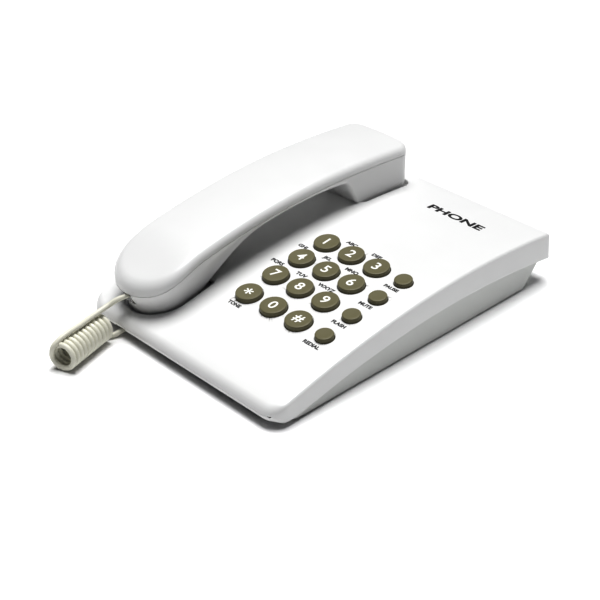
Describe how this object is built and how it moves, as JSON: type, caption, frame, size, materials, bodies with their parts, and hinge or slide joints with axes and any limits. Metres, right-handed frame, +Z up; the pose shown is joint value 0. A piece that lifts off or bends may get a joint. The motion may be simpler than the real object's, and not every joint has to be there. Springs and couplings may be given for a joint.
{
  "type": "corded desk telephone",
  "caption": "Low arched desk telephone with round dial keys, a lift-off handset at the left and a short coiled cord.",
  "frame": {"origin": "on the table, under the centre of the base's outline", "axes": "+X to the right of a seated user, +Y to the rear along the phone, +Z up"},
  "size_m": [0.15, 0.2626, 0.06],
  "materials": {
    "white_shell": "smooth, semi-gloss moulded",
    "grey_shell": "fine texture, satin moulded",
    "key_plastic": "satin moulded, printed white digits",
    "foot_rubber": "matte",
    "screw_steel": "zinc plated",
    "circuit_board": "solder mask",
    "contact_rubber": "matte silicone",
    "black_plastic": "satin moulded",
    "capacitor_blue": "sleeved",
    "switch_steel": "stamped",
    "weight_steel": "raw plate",
    "clear_plug": "translucent moulded",
    "cord_cream": "soft extruded PVC"
  },
  "bodies": {
    "base": {"base_top_cover": "white_shell", "base_bottom_cover": "grey_shell", "rubber_feet": "foot_rubber", "base_screws": "screw_steel", "keypad_board": "circuit_board", "keypad_membrane": "contact_rubber", "keypad_screws": "screw_steel", "main_board": "circuit_board", "main_board_screws": "screw_steel", "dialer_chip": "black_plastic", "line_capacitor": "capacitor_blue", "ringer": "black_plastic", "hook_switch": "black_plastic", "hook_spring": "screw_steel", "line_jack": "black_plastic", "base_cord_jack": "black_plastic", "dial_mode_switch": "switch_steel", "ringer_switch": "switch_steel", "cord_lead_handset": "cord_cream", "cord_coil": "cord_cream", "cord_lead_base": "cord_cream", "cord_plug_base": "clear_plug"},
    "handset": {"handset_upper_shell": "white_shell", "handset_lower_shell": "white_shell", "handset_screws": "screw_steel", "handset_cord_jack": "black_plastic", "receiver": "black_plastic", "receiver_gasket": "foot_rubber", "microphone": "switch_steel", "microphone_boot": "foot_rubber", "handset_weight": "weight_steel", "cord_plug_handset": "clear_plug"},
    "hook": {"hook_plunger": "white_shell"},
    "dial_mode": {"dial_mode_knob": "white_shell"},
    "ringer_volume": {"ringer_knob": "white_shell"},
    "key_1_body": {"key_1": "key_plastic"},
    "key_2_body": {"key_2": "key_plastic"},
    "key_3_body": {"key_3": "key_plastic"},
    "key_4_body": {"key_4": "key_plastic"},
    "key_5_body": {"key_5": "key_plastic"},
    "key_6_body": {"key_6": "key_plastic"},
    "key_7_body": {"key_7": "key_plastic"},
    "key_8_body": {"key_8": "key_plastic"},
    "key_9_body": {"key_9": "key_plastic"},
    "key_star_body": {"key_star": "key_plastic"},
    "key_0_body": {"key_0": "key_plastic"},
    "key_hash_body": {"key_hash": "key_plastic"},
    "key_redial_body": {"key_redial": "key_plastic"},
    "key_flash_body": {"key_flash": "key_plastic"},
    "key_mute_body": {"key_mute": "key_plastic"},
    "key_pause_body": {"key_pause": "key_plastic"}
  },
  "joints": [
    {"name": "handset_lift", "type": "slide", "parent": "base", "child": "handset", "axis": [0, 0, 1], "range_m": [0, 0.08]},
    {"name": "hook_rise", "type": "slide", "parent": "base", "child": "hook", "axis": [0, 0, 1], "range_m": [0, 0.004], "deforming": ["hook_spring"]},
    {"name": "dial_mode_slide", "type": "slide", "parent": "base", "child": "dial_mode", "axis": [1, 0, 0], "range_m": [0, 0.004]},
    {"name": "ringer_volume_slide", "type": "slide", "parent": "base", "child": "ringer_volume", "axis": [1, 0, 0], "range_m": [0, 0.004]},
    {"name": "key_1_press", "type": "slide", "parent": "base", "child": "key_1_body", "axis": [0, 0.1316, -0.9913], "range_m": [0, 0.0015], "stiffness_N_per_m": 400, "springref_m": -0.0005},
    {"name": "key_2_press", "type": "slide", "parent": "base", "child": "key_2_body", "axis": [0, 0.1316, -0.9913], "range_m": [0, 0.0015], "stiffness_N_per_m": 400, "springref_m": -0.0005},
    {"name": "key_3_press", "type": "slide", "parent": "base", "child": "key_3_body", "axis": [0, 0.1316, -0.9913], "range_m": [0, 0.0015], "stiffness_N_per_m": 400, "springref_m": -0.0005},
    {"name": "key_4_press", "type": "slide", "parent": "base", "child": "key_4_body", "axis": [0, 0.1316, -0.9913], "range_m": [0, 0.0015], "stiffness_N_per_m": 400, "springref_m": -0.0005},
    {"name": "key_5_press", "type": "slide", "parent": "base", "child": "key_5_body", "axis": [0, 0.1316, -0.9913], "range_m": [0, 0.0015], "stiffness_N_per_m": 400, "springref_m": -0.0005},
    {"name": "key_6_press", "type": "slide", "parent": "base", "child": "key_6_body", "axis": [0, 0.1316, -0.9913], "range_m": [0, 0.0015], "stiffness_N_per_m": 400, "springref_m": -0.0005},
    {"name": "key_7_press", "type": "slide", "parent": "base", "child": "key_7_body", "axis": [0, 0.1316, -0.9913], "range_m": [0, 0.0015], "stiffness_N_per_m": 400, "springref_m": -0.0005},
    {"name": "key_8_press", "type": "slide", "parent": "base", "child": "key_8_body", "axis": [0, 0.1316, -0.9913], "range_m": [0, 0.0015], "stiffness_N_per_m": 400, "springref_m": -0.0005},
    {"name": "key_9_press", "type": "slide", "parent": "base", "child": "key_9_body", "axis": [0, 0.1316, -0.9913], "range_m": [0, 0.0015], "stiffness_N_per_m": 400, "springref_m": -0.0005},
    {"name": "key_star_press", "type": "slide", "parent": "base", "child": "key_star_body", "axis": [0, 0.1316, -0.9913], "range_m": [0, 0.0015], "stiffness_N_per_m": 400, "springref_m": -0.0005},
    {"name": "key_0_press", "type": "slide", "parent": "base", "child": "key_0_body", "axis": [0, 0.1316, -0.9913], "range_m": [0, 0.0015], "stiffness_N_per_m": 400, "springref_m": -0.0005},
    {"name": "key_hash_press", "type": "slide", "parent": "base", "child": "key_hash_body", "axis": [0, 0.1316, -0.9913], "range_m": [0, 0.0015], "stiffness_N_per_m": 400, "springref_m": -0.0005},
    {"name": "key_redial_press", "type": "slide", "parent": "base", "child": "key_redial_body", "axis": [0, 0.1316, -0.9913], "range_m": [0, 0.0015], "stiffness_N_per_m": 400, "springref_m": -0.0005},
    {"name": "key_flash_press", "type": "slide", "parent": "base", "child": "key_flash_body", "axis": [0, 0.1316, -0.9913], "range_m": [0, 0.0015], "stiffness_N_per_m": 400, "springref_m": -0.0005},
    {"name": "key_mute_press", "type": "slide", "parent": "base", "child": "key_mute_body", "axis": [0, 0.1316, -0.9913], "range_m": [0, 0.0015], "stiffness_N_per_m": 400, "springref_m": -0.0005},
    {"name": "key_pause_press", "type": "slide", "parent": "base", "child": "key_pause_body", "axis": [0, 0.1316, -0.9913], "range_m": [0, 0.0015], "stiffness_N_per_m": 400, "springref_m": -0.0005}
  ],
  "couplings": [
    {"joint": "hook_rise", "follows": "handset_lift", "ratio": 0.05}
  ]
}
